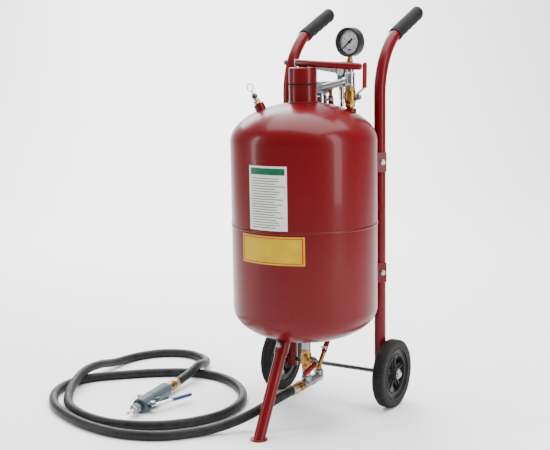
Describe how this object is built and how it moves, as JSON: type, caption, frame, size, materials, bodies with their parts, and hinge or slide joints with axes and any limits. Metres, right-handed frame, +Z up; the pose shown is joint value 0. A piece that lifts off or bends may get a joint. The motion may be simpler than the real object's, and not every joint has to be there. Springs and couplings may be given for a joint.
{
  "type": "abrasive blast pressure pot",
  "caption": "Upright pressure tank on a two-wheel trolley with curved handles, air inlet fittings, a gauge, an abrasive valve and a blast hose ending in a hand gun.",
  "frame": {"origin": "on the floor, under the middle of the box round the standing pot without its blast hose and gun; the tank axis is 76.8 mm in front of it", "axes": "+Z up, -Y to the front where the single leg stands, +Y to the back where the handles reach, +X to the right when looking along +Y"},
  "size_m": [1.0195, 0.8833, 1.1623],
  "materials": {
    "red_paint": "gloss",
    "red_rubber": "satin",
    "red_vinyl": "satin",
    "black_rubber": "matte",
    "tyre": "matte",
    "black_plastic": "satin",
    "brass": "satin",
    "zinc": "satin",
    "chrome": "polished",
    "cast_grey": "hammered paint",
    "ceramic": "satin"
  },
  "bodies": {
    "pot": {"tank_upper_shell": "red_paint", "tank_lower_shell": "red_paint", "tank_weld_band": "red_paint", "frame_tube_left": "red_paint", "frame_tube_right": "red_paint", "front_leg": "red_paint", "air_hose": "red_rubber", "cap_gasket": "black_rubber", "grip_left": "black_rubber", "grip_right": "black_rubber", "blast_hose": "black_rubber", "gauge_case": "black_plastic", "regulator_gauge": "black_plastic", "air_hose_barb": "brass", "outlet_swivel": "brass", "sand_valve_body": "brass", "air_valve_body": "brass", "link_tee": "brass", "safety_valve": "brass", "gun_coupling": "brass", "frame_bolt_upper_left": "zinc", "frame_bolt_lower_left": "zinc", "frame_bolt_upper_right": "zinc", "frame_bolt_lower_right": "zinc", "leg_bolt": "zinc", "strap_bolt": "zinc", "axle_cap_left": "zinc", "axle_cap_right": "zinc", "outlet_nipple": "zinc", "lower_nipple": "zinc", "mixing_tee": "zinc", "air_elbow": "zinc", "outlet_ferrule": "zinc", "inlet_pipe": "zinc", "separator_head": "zinc", "mounting_strap": "zinc", "gun_nozzle_nut": "zinc", "axle": "chrome", "stack_tee": "chrome", "gauge_riser": "chrome", "separator_bowl": "chrome", "inlet_plug": "chrome", "gun_pivot_screw": "chrome", "regulator_body": "cast_grey", "gun_body": "cast_grey", "gun_nozzle": "ceramic"},
    "fill_cap": {"fill_cap": "red_paint", "cap_lever_bar": "red_paint"},
    "wheel_left": {"tyre_left": "tyre", "wheel_hub_left": "black_plastic"},
    "wheel_right": {"tyre_right": "tyre", "wheel_hub_right": "black_plastic"},
    "sand_valve_handle": {"sand_valve_ball": "chrome", "sand_valve_lever": "red_vinyl"},
    "air_valve_handle": {"air_valve_ball": "chrome", "air_valve_lever": "red_vinyl"},
    "gauge_needle": {"gauge_needle": "black_plastic"},
    "regulator_knob": {"regulator_knob": "black_plastic"},
    "safety_ring": {"safety_pull_ring": "chrome"},
    "gun_lever": {"gun_lever": "zinc"}
  },
  "joints": [
    {"name": "cap_turn", "type": "hinge", "parent": "pot", "child": "fill_cap", "pos_m": [0, -0.07677, 0.97], "axis": [0, 0, 1], "range_deg": [-90, 0]},
    {"name": "wheel_left_spin", "type": "hinge", "parent": "pot", "child": "wheel_left", "pos_m": [-0.188, 0.09673, 0.1], "axis": [1, 0, 0], "continuous": true},
    {"name": "wheel_right_spin", "type": "hinge", "parent": "pot", "child": "wheel_right", "pos_m": [0.188, 0.09673, 0.1], "axis": [1, 0, 0], "continuous": true},
    {"name": "sand_valve_turn", "type": "hinge", "parent": "pot", "child": "sand_valve_handle", "pos_m": [0, -0.07677, 0.162], "axis": [1, 0, 0], "range_deg": [-10, 80]},
    {"name": "air_valve_turn", "type": "hinge", "parent": "pot", "child": "air_valve_handle", "pos_m": [0.118, -0.02177, 0.909], "axis": [1, 0, 0], "range_deg": [-90, 0]},
    {"name": "gauge_needle_turn", "type": "hinge", "parent": "pot", "child": "gauge_needle", "pos_m": [0.118, -0.02177, 1.059], "axis": [0.1219, 0.9925, 0], "range_deg": [0, 260], "stiffness_Nm_per_rad": 0.002},
    {"name": "regulator_knob_turn", "type": "hinge", "parent": "pot", "child": "regulator_knob", "pos_m": [0.044, 0.08623, 0.997], "axis": [0, 0, 1], "continuous": true},
    {"name": "safety_ring_pull", "type": "slide", "parent": "pot", "child": "safety_ring", "axis": [-0.3803, -0.2102, 0.9007], "range_m": [0, 0.004], "stiffness_N_per_m": 600},
    {"name": "gun_lever_squeeze", "type": "hinge", "parent": "pot", "child": "gun_lever", "pos_m": [-0.39345, -0.29276, 0.023], "axis": [0, 0, 1], "range_deg": [0, 18], "stiffness_Nm_per_rad": 0.8}
  ]
}
